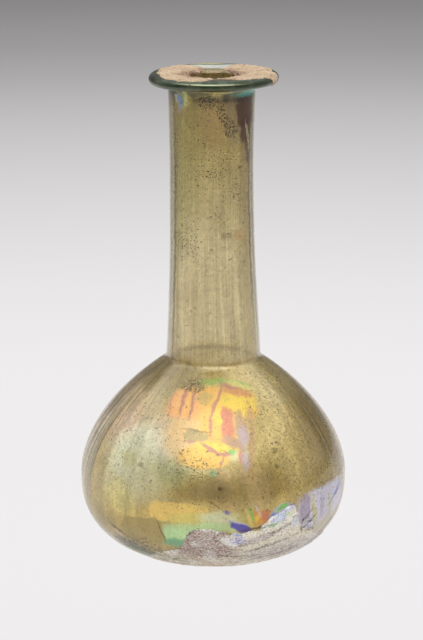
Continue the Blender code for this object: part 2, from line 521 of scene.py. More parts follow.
LOW_GOLD = seen(255, 202, 92)
TEAL = seen(206, 242, 184)
DEEP_TEAL = seen(98, 172, 138)
VIOLET = seen(84, 74, 200)
SKY = seen(112, 160, 240)
PEARL = seen(218, 220, 228)
FLECK_ORANGE = seen(240, 158, 74)
FLECK_GREEN = seen(118, 216, 112)
LILAC = seen(236, 234, 255)
VIOLET_GREY = seen(194, 180, 204)
NECK_BLUE = seen(150, 182, 220)
NECK_YELLOW = seen(240, 232, 160)
LIGHT_STRAW = seen(226, 218, 166)
SPECK_BROWN = seen(66, 50, 18)
RED_BROWN = seen(66, 26, 14)
# Painted shade and painted highlight for the dark and pale lines near the glass's outline
EDGE_SHADE_LINE = seen(80, 68, 30)
EDGE_HIGHLIGHT_LINE = seen(232, 224, 170)
RIM_GREEN = seen(30, 56, 22)
# Pale green of streaks in the rim glass, also used for the painted highlight lines on its edge
RIM_PALE_AND_HIGHLIGHT = seen(208, 216, 174)
# Painted teal glint low on the rim and just under it
RIM_TEAL_GLINT = seen(90, 186, 172)
# Painted highlights on the bare glass at the far side of the rim's top
FAR_GLASS_HIGHLIGHT = seen(250, 250, 238)
FAR_YELLOW_HIGHLIGHT = seen(252, 244, 150)
MOUTH_BROWN = seen(216, 180, 116)
# Painted glint on the rainbow film
GLINT = seen(238, 232, 170)
EDGE_GREEN = seen(66, 82, 34)
# Soil in the crust, also used for painted shadow lines along the crust's top edge
SOIL_AND_SHADOW = seen(84, 60, 40)

# Broad zones of the glass, each fading into the next
ZONES = [
    patch(-62, 46, 30, 38, ROSY_TAN, 0.8, 10),
    patch(-62, 30, 22, 34, LEFT_TAN, 0.8, 8),
    patch(-46, 61, 22, 8, DARK_OLIVE, 0.7, 3),
    patch(-50, 48, 18, 14, PALE_ROSE, 0.9, 5),
    patch(-38, 55, 14, 9, LOW_OLIVE, 0.75, 4),
    patch(-77, 32, 13, 34, PALE_GREY, 0.75, 4),
    patch(-34, 39, 23, 16, PALE_GREEN, 0.95, 5),
    patch(-38, 31, 22, 10, PALE_GREEN, 0.5, 4),
    patch(-24, 49, 8, 12, PALE_ROSE, 0.5, 3),
    patch(60, 34, 20, 34, RIGHT_BROWN, 0.4, 6),
    patch(70, 42, 14, 24, RIGHT_BROWN, 0.65, 5),
    patch(26, 32, 9, 7, RIGHT_BROWN, 0.5, 3),
    patch(-12, 36, 20, 8, SPRAY_GREEN, 0.6, 3),
    patch(-18, 36, 9, 6, SPRAY_TEAL, 0.5, 2),
    patch(12, 31.2, 17, 11, BROWN_OLIVE, 0.95, 1.6, boxy=True),
    # Painted shade: a dark band across the front, a little above the widest level
    patch(-3, 30.8, 14, 6.5, SMOKE, 0.8, 2.5),
    patch(-42, 38, 5, 3.5, SPRAY_GREEN, 0.6, 1.5),
    patch(-43, 25, 12, 10, YELLOW_GREEN, 0.65, 3),
    patch(-50, 13, 18, 12, LOW_OLIVE, 0.7, 4),
    stroke((10.7, 37.5), (11.1, 21.5), 3, OLIVE_GOLD, 0.6, 1),
    patch(112, 44, 26, 20, ROSY_TAN, 0.6, 6),
    patch(105, 20, 30, 14, PALE_GREEN, 0.5, 4),
    patch(146, 30, 26, 22, DEEP_GOLD, 0.45, 4),
    patch(160, 50, 14, 12, SALMON, 0.4, 3),
    patch(-150, 44, 30, 18, PALE_GREEN, 0.55, 5),
    patch(-118, 26, 34, 18, ROSY_TAN, 0.6, 5),
    patch(-160, 18, 20, 14, LILAC, 0.5, 3),
    patch(130, 8, 50, 7, LOW_OLIVE, 0.6, 3),
    patch(32, 54, 10, 8, OLIVE_GOLD, 0.6, 3),
    patch(52, 60, 22, 10, LEFT_TAN, 0.5, 3.5),
]

# Drawn-out painted shade lines and painted highlight lines low and high on the sides, where the
# thick glass shows dark and pale lines near its outline
EDGE_SHADE_AND_HIGHLIGHT_LINES = [
    stroke((-66, 30), (-66, 60), 0.5, EDGE_SHADE_LINE, 0.5),
    stroke((-69, 36), (-68.5, 59), 0.5, EDGE_HIGHLIGHT_LINE, 0.6),
    stroke((-73, 28), (-73, 54), 0.7, EDGE_SHADE_LINE, 0.5),
    stroke((-78, 36), (-80, 58), 0.8, EDGE_SHADE_LINE, 0.5),
    stroke((-61, 44), (-61, 60), 0.4, EDGE_SHADE_LINE, 0.4),
    stroke((66.5, 54), (65.2, 31), 0.6, EDGE_HIGHLIGHT_LINE, 0.7),
    stroke((68.5, 54), (67.4, 34), 0.5, EDGE_SHADE_LINE, 0.5),
    stroke((77, 52), (79, 40), 0.8, EDGE_HIGHLIGHT_LINE, 0.5),
    stroke((83, 59), (84, 46), 0.9, EDGE_SHADE_LINE, 0.5),
]

# The rainbow film on the front, patch over patch, with a painted glint and painted shadow lines
# along the crust's top edge among the patches
FILM_AND_PAINTED_LIGHT = [
    patch(-15, 47, 12, 14, PEACH, 0.8, 2.5),
    patch(7, 55.3, 19.5, 9.4, GOLD, 0.95, 0.8, boxy=True),
    patch(3, 49, 12.5, 9, GOLD, 0.95, 0.9),
    patch(17, 50, 9, 10, OLIVE_GOLD, 0.6, 2.5),
    patch(-19.6, 55.2, 10.6, 7, ORANGE, 0.9, 0.9, boxy=True),
    patch(17, 56, 12.5, 4.6, BRIGHT_YELLOW, 0.9, 0.9),
    stroke((8.4, 56), (9.3, 52.6), 1.3, BRIGHT_YELLOW),
    stroke((14, 56), (14.4, 53), 1, BRIGHT_YELLOW),
    stroke((18.9, 56), (18.4, 52.2), 1.2, BRIGHT_YELLOW),
    stroke((25.6, 56), (26.3, 52.6), 1.1, BRIGHT_YELLOW),
    stroke((9, 59.4), (28.9, 57), 2, BURNT, 0.9, 0.5),
    stroke((9, 60.2), (22, 58.9), 0.6, MAUVE, 0.8),
    stroke((-31, 58), (-28, 52.4), 0.6, MAUVE, 0.6),
    stroke((-21.5, 59.2), (-20.9, 52), 1, MAUVE),
    stroke((-14.9, 59.2), (-14.3, 52.2), 0.9, MAUVE),
    stroke((-18, 58.6), (-17.6, 52.8), 0.6, GOLD),
    stroke((6.9, 60.4), (2.7, 56.3), 0.8, MAUVE, 0.8),
    stroke((2.9, 56.7), (-1.3, 53.4), 0.8, MAUVE, 0.8),
    stroke((-1.2, 54), (-1.8, 47.6), 0.9, MAUVE, 0.8),
    patch(3.2, 52.2, 2.6, 4, BRIGHT_YELLOW, 0.7, 0.6),
    patch(-6.9, 56.9, 4.6, 2.6, OLIVE_GOLD, 0.75, 0.8),
    patch(8, 50.3, 3.6, 8, SALMON, 0.95, 0.4, boxy=True),
    patch(15.4, 48.9, 3.7, 8.6, MAUVE_BROWN, 0.85, 0.6),
    stroke((4.6, 46.2), (15.2, 43.6), 2.7, MAUVE_BROWN, 0.9, 0.5),
    patch(15.6, 46.4, 3, 4.4, VIOLET_GREY, 0.55, 1.1),
    stroke((23.2, 53.4), (16.8, 37.8), 1.3, MAUVE, 0.45, 0.6),
    patch(-9.4, 46.9, 8, 3.4, LOW_OLIVE, 0.95, 0.35),
    stroke((-15.8, 48.6), (-3.5, 48.4), 0.5, SPECK_BROWN, 0.45),
    stroke((-15.4, 45.4), (-3.5, 44.9), 0.5, MAUVE, 0.6),
    patch(-4.2, 41.2, 17, 6.8, LOW_GOLD, 0.97),
    stroke((-7, 44.6), (9.5, 43.2), 2.2, BRIGHT_YELLOW, 0.8, 0.6),
    stroke((-5.5, 44.7), (1.8, 42.3), 0.9, MAUVE),
    stroke((1.2, 42.5), (11, 41.2), 0.9, MAUVE),
    stroke((4.6, 41.8), (2.4, 38.2), 0.6, MAUVE, 0.8),
    patch(12.6, 40.4, 1.8, 3.4, SALMON, 0.8, 0.6),
    patch(15, 40, 1.9, 4.2, VIOLET_GREY, 0.65, 0.9),
    # Painted glint, with a green spot in it
    patch(10, 40.6, 2.3, 3.2, GLINT, 0.9, 0.8),
    patch(8.4, 42.4, 1.5, 1.1, FLECK_GREEN, 0.9),
    patch(9, 38.8, 4, 2.2, OLIVE_GOLD, 0.8, 1),
    patch(-0.2, 36.3, 1.8, 1.3, DEEP_TEAL, 0.8),
    stroke((-11.5, 61), (12, 61.3), 1.3, FILM_GREEN, 0.85, 0.4),
    stroke((13, 61.2), (31.9, 58.5), 1.5, FILM_LIME, 0.8, 0.5),
    stroke((20, 60.9), (30, 59.9), 0.5, FILM_GREEN, 0.6),
    patch(-17, 23.6, 16.5, 6.6, DEEP_GOLD, 0.97, boxy=True),
    patch(-4, 25.4, 12, 4.2, DEEP_GOLD, 0.6, 1.6),
    patch(-2, 20.8, 20, 5.4, FILM_LIME, 0.7, 2),
    patch(2, 22.4, 9, 3.4, PALE_GREEN, 0.7, 1.5),
    patch(0, 18.8, 16, 2.8, TEAL, 0.8, 1.2),
    patch(-16, 15.2, 16, 7, TEAL, 0.95, 1.8),
    patch(-14, 12.6, 11, 3, DEEP_TEAL, 0.8, 1),
    patch(-32, 15.3, 16, 9.6, LOW_OLIVE, 0.97, 0.4, turn=8, boxy=True),
    stroke((-24.2, 20.2), (-21, 12.6), 0.5, SOIL_AND_SHADOW, 0.5),
    patch(0.5, 26.6, 4, 3.4, BROWN_OLIVE, 0.6, 0.6),
    stroke((-1.5, 27.6), (2.5, 25.6), 0.5, SPECK_BROWN, 0.6),
    patch(5.6, 24.2, 2, 1.6, VIOLET, 0.8),
    patch(18.6, 21.6, 7.4, 5.2, FLECK_ORANGE, 0.85),
    stroke((13.4, 24.6), (16.2, 19.2), 1.2, FILM_LIME),
    stroke((15.2, 25), (17.2, 20.4), 0.8, FLECK_GREEN, 0.8),
    stroke((17.5, 25.2), (19.6, 22.4), 0.6, PEARL, 0.8),
    stroke((20.6, 23.8), (21.6, 20.2), 0.5, SALMON, 0.8),
    patch(18, 21.4, 1.8, 2.2, BRIGHT_YELLOW, 0.8),
    patch(22.6, 22.4, 2, 3.4, SALMON, 0.8),
    patch(31, 22.8, 9, 4.8, PEARL, 0.9, 0.6),
    patch(27, 20.9, 4.6, 3, SKY, 0.95),
    stroke((27.4, 23.2), (32.6, 24.9), 1.5, FLECK_GREEN, 0.95),
    stroke((25, 19), (31, 20.2), 0.8, FLECK_GREEN, 0.8),
    patch(34.5, 23.6, 2, 1.8, VIOLET, 0.6),
    stroke((7, 20.2), (16.2, 17.4), 3, VIOLET, 0.97),
    stroke((6, 21.2), (13, 20.2), 0.8, PEARL, 0.8),
    # Painted shadow line along the top edge of the foot crust
    stroke((14, 17.9), (28, 19.3), 0.6, SOIL_AND_SHADOW, 0.85),
    stroke((28, 19.3), (35, 21.6), 0.6, SOIL_AND_SHADOW, 0.6),
    patch(3.1, 31.8, 1.7, 1.3, SPECK_BROWN, 0.9, 0.3),
    patch(-34.5, 37, 2, 1.8, SMOKE, 0.6, 0.2, boxy=True),
    patch(30.6, 41.8, 1.4, 1.2, SPECK_BROWN, 0.6, 0.3),
    patch(29.5, 37.2, 1.2, 1.4, SPECK_BROWN, 0.6, 0.3),
    patch(57, 20, 30, 13.5, LILAC, 0.9, 1, boxy=True),
    patch(42, 21.3, 4.6, 9.4, VIOLET_GREY, 0.9, 0.4, boxy=True),
    patch(54, 10.5, 26, 9, PALE_GREY, 0.9, 1.2, turn=14),
    stroke((46.2, 25.6), (49.4, 14.4), 2, LIGHT_STRAW),
    stroke((58.4, 23.8), (61.4, 15), 1.6, LIGHT_STRAW, 0.8),
    stroke((52.5, 24), (54, 16), 2.4, VIOLET_GREY, 0.5),
    stroke((62, 20.6), (70, 23.6), 0.7, SOIL_AND_SHADOW, 0.7),
    stroke((63, 21.6), (70, 24.6), 0.7, SKY, 0.7),
    stroke((38.3, 13.8), (47.1, 18.8), 2.4, PEARL, 0.8, 0.4),
    stroke((38.6, 12.6), (48, 17.6), 0.6, SOIL_AND_SHADOW, 0.7),
    stroke((40, 16.6), (46, 20.4), 0.5, SOIL_AND_SHADOW, 0.6),
    stroke((50, 12), (60, 15.6), 0.8, LIGHT_STRAW, 0.6),
    stroke((56.1, 7.6), (71.9, 16.3), 0.7, SOIL_AND_SHADOW, 0.8),
    stroke((50, 5.4), (62, 10.4), 0.6, SOIL_AND_SHADOW, 0.5),
    stroke((-49.7, 12.9), (-43, 10.8), 2.2, PALE_ROSE),
    stroke((-50.5, 14.2), (-42, 11.8), 0.7, SOIL_AND_SHADOW, 0.8),
    stroke((-50, 8.4), (-26, 3.6), 4.4, EDGE_GREEN, 0.9, 1.2),
    stroke((-44, 6.4), (-26, 3.6), 1, DEEP_TEAL, 0.6),
]

# Stains on the neck, with painted shade down its sides, painted shade and highlight lines near
# its outline, and a painted teal glint under the rim
NECK_MARKS = [
    patch(-36, 132, 11, 46, NECK_GREEN, 0.3, 3),
    patch(5, 147, 9, 13, NECK_TAN, 0.6, 3),
    patch(36, 148, 8, 16, NECK_GREY, 0.7, 2),
    # Painted shade: darker strips down both sides of the neck
    patch(-60, 120, 5, 90, DARK_OLIVE, 0.5, 2),
    patch(-50, 130, 5, 50, FILM_GREEN, 0.12, 2),
    # Painted shade down the right side of the neck
    patch(60, 110, 8, 90, DARK_OLIVE, 0.6, 2.5),
    # Painted shade and painted highlight lines near the neck's left outline
    stroke((-58, 151), (-60, 66), 1, EDGE_SHADE_LINE),
    stroke((-52, 150), (-54, 118), 0.35, EDGE_SHADE_LINE, 0.5),
    stroke((-64, 150), (-66, 70), 0.7, EDGE_HIGHLIGHT_LINE, 0.4),
    stroke((-71, 150), (-72, 70), 1.4, EDGE_SHADE_LINE, 0.7),
    stroke((61, 134), (63, 88), 0.9, RED_BROWN, 0.8),
    # Painted highlight and painted shade lines near the neck's right outline
    stroke((66, 140), (68, 70), 0.6, EDGE_HIGHLIGHT_LINE, 0.4),
    stroke((72, 150), (74, 70), 1.6, EDGE_SHADE_LINE, 0.8),
    patch(52, 149.5, 8.4, 10.5, RED_BROWN, 0.92, 0.8, boxy=True),
    patch(52, 142.5, 5, 9, RED_BROWN, 0.88, 0.8),
    stroke((53, 142), (62, 131), 2.6, RED_BROWN, 0.88, 0.6),
    stroke((60, 150), (68, 134), 2.4, RED_BROWN, 0.5, 0.8),
    stroke((52, 145), (54, 141), 0.4, LIGHT_STRAW, 0.7),
    stroke((56, 142), (60, 136.5), 0.5, LIGHT_STRAW, 0.85),
    stroke((34, 146), (35, 141), 0.4, LIGHT_STRAW, 0.5),
    stroke((-41, 146.5), (-41, 144.3), 0.6, LIGHT_STRAW, 0.7),
    patch(21, 108.4, 3.2, 1.6, SMOKE, 0.6, boxy=True),
    patch(42, 108.6, 3.6, 3.4, NECK_TAN, 0.7, boxy=True),
    patch(42, 130.5, 1.1, 1.2, SPECK_BROWN, 0.85, 0.3),
    patch(0.4, 103.9, 0.6, 0.6, SPECK_BROWN, 0.9, 0.2),
    patch(48, 99, 1.2, 1.4, RED_BROWN, 0.6, 0.3),
    patch(-2, 154.7, 22, 2.2, FILM_LIME, 0.45, 0.7),
    # Painted teal glint under the rim on the right
    patch(60, 154.6, 14, 1.9, RIM_TEAL_GLINT, 0.9, 0.6),
    patch(-45, 152.2, 1.7, 5.6, NECK_BLUE, 0.95, 0.4),
    patch(-45.8, 149.4, 1.6, 2.2, VIOLET_GREY, 0.8, 0.4),
    patch(-39.4, 153.4, 0.7, 3.4, FLECK_GREEN, 0.6, 0.3),
    patch(-36, 153, 1.7, 4.4, NECK_YELLOW, 0.95, 0.4),
    patch(-53, 153.6, 1.6, 3.6, PEARL, 0.7, 0.4),
    patch(19, 153.4, 2, 3, SPECK_BROWN, 0.8, 0.6),
]

# Where dark specks gather. Strength is how many of their places they fill
SPECKLED = areas([
    (-13, 37, 18, 8, 0.68, 3), (-14, 41, 4, 5, 0.7, 1.2), (-18, 60.6, 8, 3.6, 1.1, 1.2),
    (-13, 59.6, 4, 1.8, 1.2, 0.6), (-4, 152.3, 8, 4, 1.3, 0.7), (28, 144, 6, 7.5, 1.25, 1.2),
    (12, 138, 14, 14, 0.5, 4), (0, 125, 100, 60, 0.2, 8), (-8, 128, 10, 2.4, 0.75, 1),
    (33, 122, 3.4, 7, 0.8, 1), (-40, 106, 10, 12, 0.6, 3), (50, 42, 42, 40, 0.66, 9),
    (58, 60, 14, 6, 0.7, 2), (50, 36, 14, 12, 0.65, 4), (-38, 8, 20, 7, 0.9, 2),
    (-40, 42, 36, 28, 0.42, 6), (0, 27, 30, 4, 0.5, 1.5), (44, 15, 10, 8, 0.8, 2),
    (130, 40, 60, 40, 0.5, 10), (-130, 36, 60, 40, 0.5, 10), (150, 12, 40, 12, 0.8, 3),
    (-110, 130, 30, 40, 0.5, 8),
]) + [stroke((5, 153), (25, 146), 3.8, None, 1.3, 0.7)]

# Where the surface shines like pearl
PEARLY = areas([
    (3, 50, 30, 26, 0.3, 4), (-20, 55, 12, 9, 0.36, 2), (-16, 20, 34, 16, 0.66, 2),
    (-34, 40, 28, 30, 0.24, 6), (-62, 38, 26, 46, 0.56, 7), (20, 21, 30, 10, 0.5, 2),
    (-77, 32, 14, 36, 0.75, 4), (-62, 50, 14, 12, 0.6, 4), (38, 50, 44, 36, 0.36, 7),
    (54, 60, 22, 10, 0.45, 4), (56, 17, 34, 22, 0.66, 2), (-43, 152.6, 8, 5.4, 0.6, 0.6),
    (0, 35, 400, 60, 0.08, 8), (-44, 22, 26, 18, 0.6, 5), (60, 154.6, 12, 1.8, 0.5, 0.5),
    (-37, 5.5, 26, 5, 0.4, 1), (12, 31, 24, 12, 0.3, 3), (52, 147, 9, 16, 0.5, 1),
])

# Painted highlights and a painted shadow line on the top of the rim, seen from above: the white
# highlight of the bare far glass, a dark shadow line under the back lip and the yellow highlight of
# the far edge. Each gives middle x and y, size across and along, fading edge, strength, colour and
# shine, with the places in millimetres from the axis
RIM_HIGHLIGHTS_AND_SHADOW = [
    ((0.2, 14.0), (26, 8.0), 0.3, 0.95, FAR_GLASS_HIGHLIGHT, 0.75),
    ((-2.0, 17.3), (16, 0.9), 0.3, 0.8, RIM_GREEN, 0.2),
    ((-3.4, 19.0), (16, 2.6), 0.25, 0.9, FAR_YELLOW_HIGHLIGHT, 0.75),
]


def rim_colour(paint, colour):
    """The rim's dark green glass with its paler bands, painted highlight lines and a painted teal
    glint on its edge, painted highlights and a painted shadow line on its top, the brown inside of
    the mouth, and how much the rim shines."""
    rolled = paint.ramp(paint.z, 155.2, 156.2)
    bands = paint.grain(2.6, 4.0, stretch=(1.0, 0.22, 1.0),
                        place=paint.joined(paint.times(paint.azimuth, 9.0), paint.z))
    green = paint.mix(paint.ramp(bands, 0.46, 0.66, 0.0, 0.1), RIM_GREEN, RIM_PALE_AND_HIGHLIGHT)
    # Painted highlight: a pale line across the front of the rim's edge, fading towards the sides
    front = paint.ramp(paint.math("ABSOLUTE", paint.azimuth), 0.25, 0.75, 1.0, 0.0)
    line = paint.between(paint.z, 158.6, 158.85, 159.0, 159.25)
    line = paint.times(paint.times(line, front), 0.75)
    green = paint.mix(line, green, RIM_PALE_AND_HIGHLIGHT)
    bright = paint.most(paint.times(rolled, 0.55), line)
    # A fainter painted highlight line lower on the rim's edge
    low_highlight_line = paint.between(paint.z, 156.8, 157.1, 157.5, 157.9)
    green = paint.mix(paint.times(low_highlight_line, 0.12), green, RIM_PALE_AND_HIGHLIGHT)
    # Painted teal glint low on the right of the rim's edge
    right = paint.between(paint.azimuth, 0.2, 0.7, 1.3, 1.7)
    low = paint.times(paint.ramp(paint.z, 157.2, 156.6), right)
    green = paint.mix(paint.times(low, 0.8), green, RIM_TEAL_GLINT)
    colour = paint.mix(rolled, colour, green)
    # The painted highlights and the painted shadow line on the rim's top
    for (x, y), (wide, deep), fade, strength, painted_light_colour, shine in RIM_HIGHLIGHTS_AND_SHADOW:
        off = paint.joined(paint.linear(paint.x, 2 / wide, -2 * x / wide),
                           paint.linear(paint.y, 2 / deep, -2 * y / deep))
        share = paint.ramp(paint.vector("LENGTH", off), 1 - fade, 1 + fade, strength, 0.0)
        share = paint.times(share, paint.ramp(paint.z, 157.9, 158.5))
        bright = paint.most(bright, paint.times(share, shine))
        colour = paint.mix(share, colour, painted_light_colour)
    in_mouth = paint.times(paint.ramp(paint.radius, 12.5, 11.0), paint.ramp(paint.z, 150.0, 152.0))
    bright = paint.blend(in_mouth, bright, 0.1)
    return paint.mix(in_mouth, colour, MOUTH_BROWN), bright


def outer_glass():
    """The weathered outside: film patches, stains, specks, fine streaks and pitting, with painted
    highlights, glints and shade among them.
    """
    paint = Surface("weathered_glass")
    ragged = paint.wobbled(2.8, 1.4, detail=8.0)
    loose = paint.wobbled(12.0, 3.0, detail=2.0)
    up_neck = paint.ramp(paint.z, NECK_FOOT / MM - 2, NECK_FOOT / MM + 4)
    tone = paint.mix(paint.ramp(paint.z, 90, 150), NECK_LOW, NECK_HIGH)
    colour = paint.mix(up_neck, TAN, tone)
    colour = paint.painted(colour, ZONES, loose)
    # Painted shade and highlight lines near the outline
    colour = paint.painted(colour, EDGE_SHADE_AND_HIGHLIGHT_LINES, paint.flat)

    meridian = paint.joined(paint.times(paint.azimuth, 14.0), paint.z)
    streaks = paint.grain(1.4, 3.0, 0.5, stretch=(1.0, 0.025, 1.0), place=meridian)
    drawn = paint.grain(0.6, 2.0, 0.5, stretch=(1.0, 0.018, 1.0), place=meridian)
    cloud = paint.grain(7.0, detail=6.0, roughness=0.62)
    mottle = paint.grain(1.1, detail=5.0, roughness=0.75)
    sides = paint.ramp(paint.math("ABSOLUTE", paint.azimuth), 0.5, 1.2)
    high = paint.ramp(paint.z, 30, 50)
    lined = paint.most(paint.times(sides, high), up_neck)
    fine = paint.ramp(drawn, 0.36, 0.64, 0.84, 1.12)
    shade = paint.ramp(cloud, 0.3, 0.7, 0.84, 1.12)
    shade = paint.times(shade, paint.ramp(streaks, 0.3, 0.7, 0.88, 1.08))
    shade = paint.times(shade, paint.blend(lined, 1.0, fine))
    shade = paint.times(shade, paint.ramp(mottle, 0.34, 0.66, 0.88, 1.10))
    colour = paint.shaded(colour, shade)

    # Film patches, with the painted glint and painted shadow lines among them
    film = paint.painted(colour, FILM_AND_PAINTED_LIGHT, ragged)
    colour = paint.painted(film, NECK_MARKS, ragged)
    shade = paint.times(paint.ramp(mottle, 0.34, 0.66, 0.93, 1.05),
                        paint.ramp(streaks, 0.3, 0.7, 0.93, 1.05))
    colour = paint.shaded(colour, shade)
    colour, bright = rim_colour(paint, colour)

    density = paint.most(paint.reached(SPECKLED, loose), 0.04)
    dots = paint.specks(1.3, 0.42, paint.times(density, 0.5))
    specks = paint.most(dots, paint.flecks(0.48, density))
    specks = paint.most(specks, paint.flecks(0.9, paint.times(density, 0.6)))
    thick = paint.specks(0.95, 0.52, paint.ramp(density, 0.8, 1.15, 0.0, 0.8))
    specks = paint.most(specks, thick)
    dark = paint.ramp(density, 0.4, 1.1, 0.66, 0.92)
    colour = paint.mix(paint.times(specks, dark), colour, SPECK_BROWN)
    paint.give("Base Color", colour)

    pearl = paint.most(paint.reached(PEARLY, ragged), bright)
    paint.give("Metallic", pearl)
    clear = paint.blend(up_neck, paint.ramp(cloud, 0.3, 0.7, 0.12, 0.22),
                        paint.ramp(cloud, 0.3, 0.7, 0.04, 0.11))
    rough = paint.math("ADD", clear, paint.times(pearl, 0.6))
    paint.give("Roughness", paint.linear(specks, 0.25, rough))

    relief = paint.linear(cloud, 0.10, paint.times(specks, -0.05))
    relief = paint.linear(drawn, 0.02, relief)
    relief = paint.linear(mottle, 0.04, relief)
    paint.raised(relief, 0.8)
    paint.give("Transmission Weight", 0.82)
    paint.give("Specular Tint", (1.0, 0.97, 0.86, 1.0))
    paint.give("Coat Weight", 0.5)
    paint.give("Coat Roughness", 0.12)
    paint.give("Coat IOR", 1.5)
    paint.give("IOR", 1.5)
    return paint.material


def inner_glass():
    """The cleaner inside of the wall."""
    paint = Surface("inner_glass")
    haze = paint.grain(9.0, detail=5.0)
    colour = paint.mix(paint.ramp(haze, 0.35, 0.65), seen(246, 240, 218), seen(232, 222, 190))
    paint.give("Base Color", colour)
    paint.give("Roughness", paint.ramp(haze, 0.3, 0.7, 0.03, 0.09))
    paint.give("Transmission Weight", 1.0)
    paint.give("IOR", 1.5)
    return paint.material


def make_glass():
    profile = glass_profile()
    piece = turned_mesh("weathered_bottle", profile)
    piece.data.materials.append(outer_glass())
    piece.data.materials.append(inner_glass())
    inner_faces = int(np.argmax(profile[1:-1, 1] > BORE_END)) * SEGMENTS
    floor_faces = len(piece.data.polygons) - 2 * SEGMENTS
    for face in piece.data.polygons:
        inside = face.index < inner_faces or floor_faces <= face.index < floor_faces + SEGMENTS
        face.material_index = 1 if inside else 0
    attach(piece, "root")
    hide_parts("bottle")


# Crust: where a sheet of it lies on the glass. Each list goes round by azimuth, and gives how
# far it reaches: up the body by height, and over the rim by the way out from inside the lip
FOOT_CRUST_TOP = [(-44, -2), (-38, 1.5), (-32, 5.5), (-24, 7.5), (-16, 10), (-12, 14.5), (-8, 18.5),
                  (-3, 20), (2, 18.5), (7, 16.8), (12, 15.6), (18, 16.4), (24, 20.5), (30, 22.8),
                  (34, 24.5), (37, 22.5), (40, 17), (46, 13), (55, 9.5), (68, 7), (78, 3), (86, -2)]
RIM_CRUST_START = [(-170, 5), (-150, 1.2), (-60, 0.6), (-30, 1.8), (-10, 2.8), (20, 3.2), (60, 1.6),
                   (100, 1), (145, 1.4), (158, 2.6), (168, 5)]
RIM_CRUST_END = [(-170, 2), (-160, 9), (-140, 12.8), (-110, 12.2), (-80, 11.2), (-50, 13.4),
                 (-20, 13.2), (-8, 12.4), (0, 3), (16, 3), (24, 12.6), (50, 13), (62, 15),
                 (70, 17.4), (78, 14), (90, 12), (120, 13), (145, 12.8), (156, 11),
                 (163, 5), (167, 2)]
CRUST_STEP = 0.00042
CRUST_SUNK = 0.00012
CRUST_BACKING = 0.00018


def crumbled(place, size, seed):
    """Rough noise of several scales at a place, mostly between -1 and 1."""
    spot = Vector(place) / size + Vector((seed, -seed, 0.5 * seed))
    return 1.6 * noise.fractal(spot, 0.75, 2.1, 5)


def along(azimuth, table):
    return float(np.interp(azimuth, [row[0] for row in table], [row[1] for row in table]))


def crust_sheet(name, line, first, last, inside, rise, material):
    """A closed flaky sheet on the glass.

    line is the stretch of the glass profile that it lies on, and first and last are azimuths.
    inside(azimuth, row, place) is how far in from the sheet's edge a point is, in metres, and
    rise(depth, place) is how high the crust stands there.
    """
    slopes = np.gradient(line, axis=0)
    normals = np.stack([slopes[:, 1], -slopes[:, 0]], 1) / np.hypot(*slopes.T)[:, None]
    widest = line[:, 0].max()
    columns = int(math.radians(last - first) * widest / CRUST_STEP)
    places, depths = [], []
    for row, (radius, z) in enumerate(line):
        for column in range(columns + 1):
            azimuth = first + (last - first) * column / columns
            angle = math.radians(azimuth)
            base = blown(radius, angle, z)
            depth = inside(azimuth, row, base)
            high = rise(depth, base) if depth > 0 else max(-CRUST_SUNK, 2 * depth)
            out, up = normals[row] * high
            places.append((base[0] + out * math.sin(angle), base[1] - out * math.cos(angle),
                           max(base[2] + up, 0.0)))
            depths.append(depth)
    width = columns + 1
    faces = []
    for row in range(len(line) - 1):
        for column in range(columns):
            here = row * width + column
            corners = [here, here + 1, here + width + 1, here + width]
            if max(depths[corner] for corner in corners) > -0.5 * CRUST_SUNK:
                faces.append(corners)
    mesh = bpy.data.meshes.new(name)
    mesh.from_pydata(places, [], faces)
    clean = bmesh.new()
    clean.from_mesh(mesh)
    bmesh.ops.delete(clean, geom=[v for v in clean.verts if not v.link_faces], context="VERTS")
    clean.to_mesh(mesh)
    clean.free()
    piece = placed(name, mesh)
    backing = piece.modifiers.new("backing", "SOLIDIFY")
    backing.thickness = CRUST_BACKING
    backing.offset = -1
    bpy.context.view_layer.update()
    graph = bpy.context.evaluated_depsgraph_get()
    solid = bpy.data.meshes.new_from_object(piece.evaluated_get(graph))
    piece.modifiers.clear()
    piece.data = solid
    bpy.data.meshes.remove(mesh)
    solid.shade_smooth()
    solid.materials.append(material)
    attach(piece, "root")


def make_foot_crust():
    """The pale scaly crust low on the front, and the thin band under it."""
    radii = BODY_RADIUS - (BODY_RADIUS - FOOT_RADIUS + 0.0004) * np.linspace(0, 1, 300) ** 2
    line = np.stack([radii, belly_height(radii, BODY_RADIUS, FOOT_FALL)], 1)
    above = np.linspace(WIDEST_HEIGHT + 0.004, WIDEST_HEIGHT, 20)[:-1]
    line = np.concatenate([np.stack([outer_radius(above), above], 1), line])
    line = evenly(line, CRUST_STEP)[::-1]

    def inside(azimuth, row, place):
        return along(azimuth, FOOT_CRUST_TOP) * MM - line[row, 1] + 0.0011 * crumbled(place, 0.006, 4.0)

    def rise(depth, place):
        steps = 0.00018 + 0.00016 * eased(depth - 0.0016, 0.0003)
        steps += 0.00014 * eased(crumbled(place, 0.009, 9.0), 0.12)
        steps *= 0.25 + 0.75 * eased(place[2], 0.007)
        return steps * eased(depth, 0.0004) + 0.00009 * crumbled(place, 0.0016, 2.0)

    looks = crusty("foot_crust", CRUST_CREAM, FOOT_CRUST_MARKS, CRUST_WHITE, SOIL_AND_SHADOW, 0.55, 2.6)
    crust_sheet("foot_crust", line, -46, 88, inside, rise, looks)


